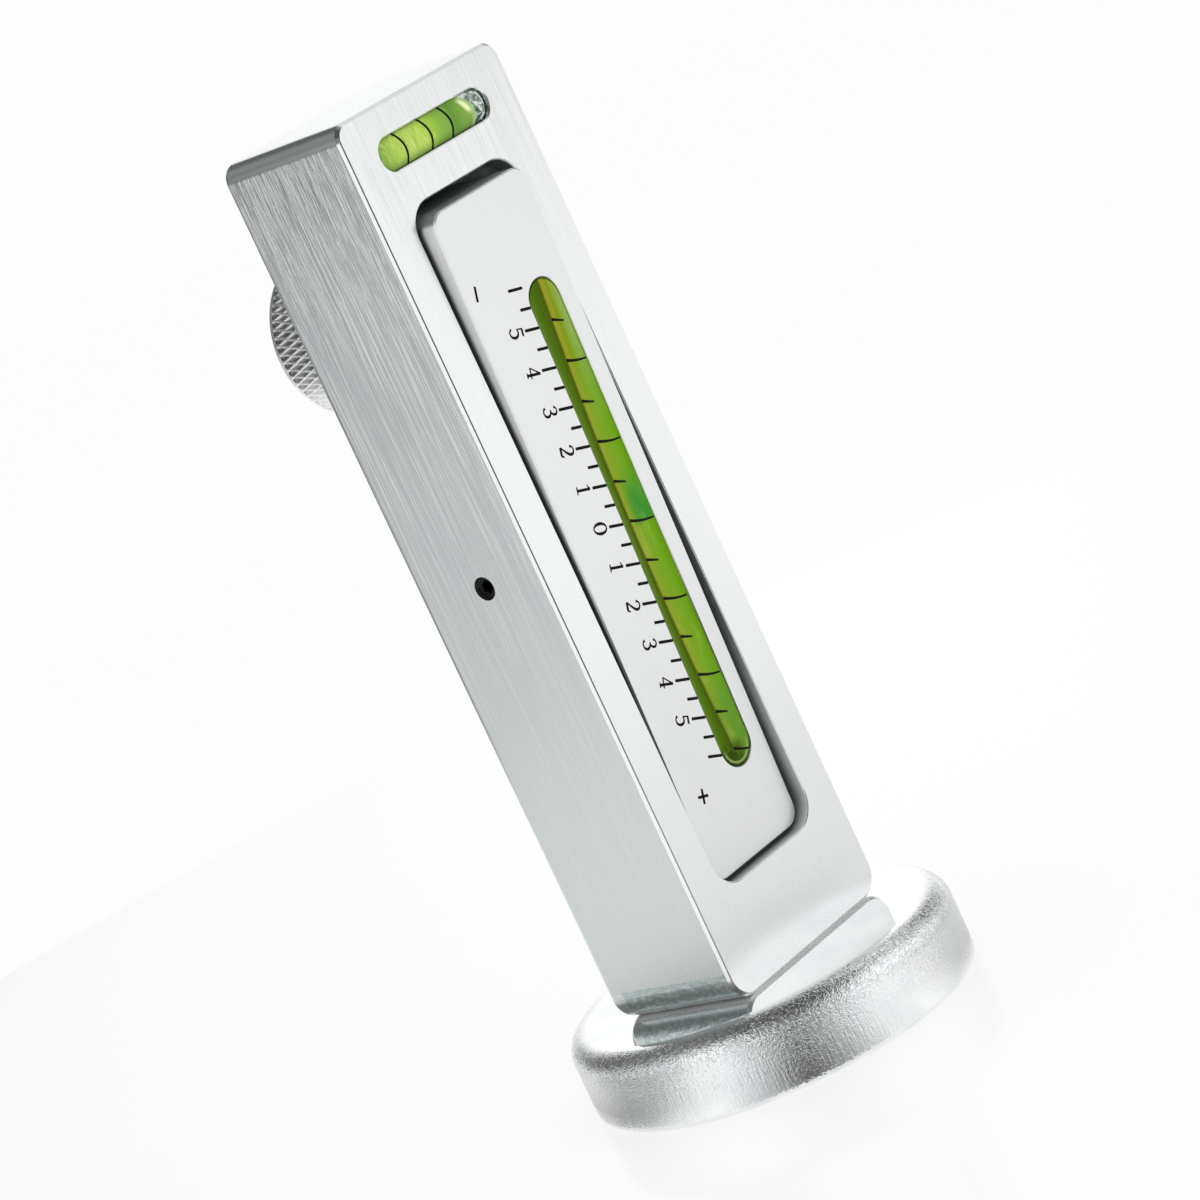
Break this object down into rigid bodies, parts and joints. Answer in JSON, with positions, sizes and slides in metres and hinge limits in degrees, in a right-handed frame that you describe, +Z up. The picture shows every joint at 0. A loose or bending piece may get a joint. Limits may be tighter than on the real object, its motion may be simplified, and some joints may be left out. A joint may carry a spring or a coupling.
{
  "type": "camber caster gauge",
  "caption": "Magnetic wheel alignment gauge: aluminium post on a round magnet, with a cross vial and a tilting block that holds the scaled camber vial.",
  "frame": {"origin": "centre of the magnet's pole face, on the axis of the magnet and the post", "axes": "+Z up the post away from the magnet, -Y out of the front face with the vials, +X to the right when the front is seen upright"},
  "size_m": [0.06, 0.06, 0.1478],
  "materials": {
    "post_aluminium": "brushed along the post",
    "block_aluminium": "satin, fine brushed",
    "plated_steel": "bright nickel plate",
    "pole_steel": "ground",
    "ferrite": "sintered ferrite, dull",
    "resin": "cast resin",
    "screw_steel": "zinc plated",
    "black_steel": "black oxide",
    "clear_acrylic": "polished, clear",
    "vial_liquid": "yellow-green spirit",
    "ring_black": "black",
    "adhesive": "white adhesive",
    "bushing_brass": "turned",
    "spring_steel": "drawn wire",
    "ball_steel": "polished",
    "knob_metal": "bright, diamond knurled rim"
  },
  "bodies": {
    "post": {"post_body": "post_aluminium", "magnet_cup": "plated_steel", "centre_pole": "pole_steel", "ring_magnet": "ferrite", "magnet_resin": "resin", "magnet_screw": "screw_steel", "cross_vial_body": "clear_acrylic", "cross_vial_liquid": "vial_liquid", "cross_vial_rings": "ring_black", "cross_vial_plug": "clear_acrylic", "cross_vial_bed": "adhesive", "pivot_screws": "black_steel", "screw_bushing": "bushing_brass", "return_spring": "spring_steel"},
    "block": {"level_block": "block_aluminium", "camber_vial_body": "clear_acrylic", "camber_vial_liquid": "vial_liquid", "camber_vial_plug": "clear_acrylic", "camber_vial_bed": "adhesive", "pivot_bushes": "bushing_brass", "thrust_button": "screw_steel"},
    "ball": {"thrust_ball": "ball_steel"},
    "knob": {"adjusting_screw": "screw_steel", "adjusting_knob": "knob_metal", "knob_set_screw": "black_steel"}
  },
  "joints": [
    {"name": "screw_feed", "type": "slide", "parent": "post", "child": "ball", "axis": [0, -1, 0], "range_m": [-0.0035, 0.00144]},
    {"name": "knob_turn", "type": "hinge", "parent": "ball", "child": "knob", "pos_m": [0, 0.0195, 0.1182], "axis": [0, -1, 0], "range_deg": [-1262, 521]},
    {"name": "block_tilt", "type": "hinge", "parent": "post", "child": "block", "pos_m": [0, -0.0009, 0.0802], "axis": [1, 0, 0], "range_deg": [-5.3, 2.2], "deforming": ["return_spring"]}
  ],
  "couplings": [
    {"joint": "knob_turn", "follows": "screw_feed", "rad_per_m": 6283.2},
    {"joint": "block_tilt", "follows": "screw_feed", "rad_per_m": 26.316}
  ]
}
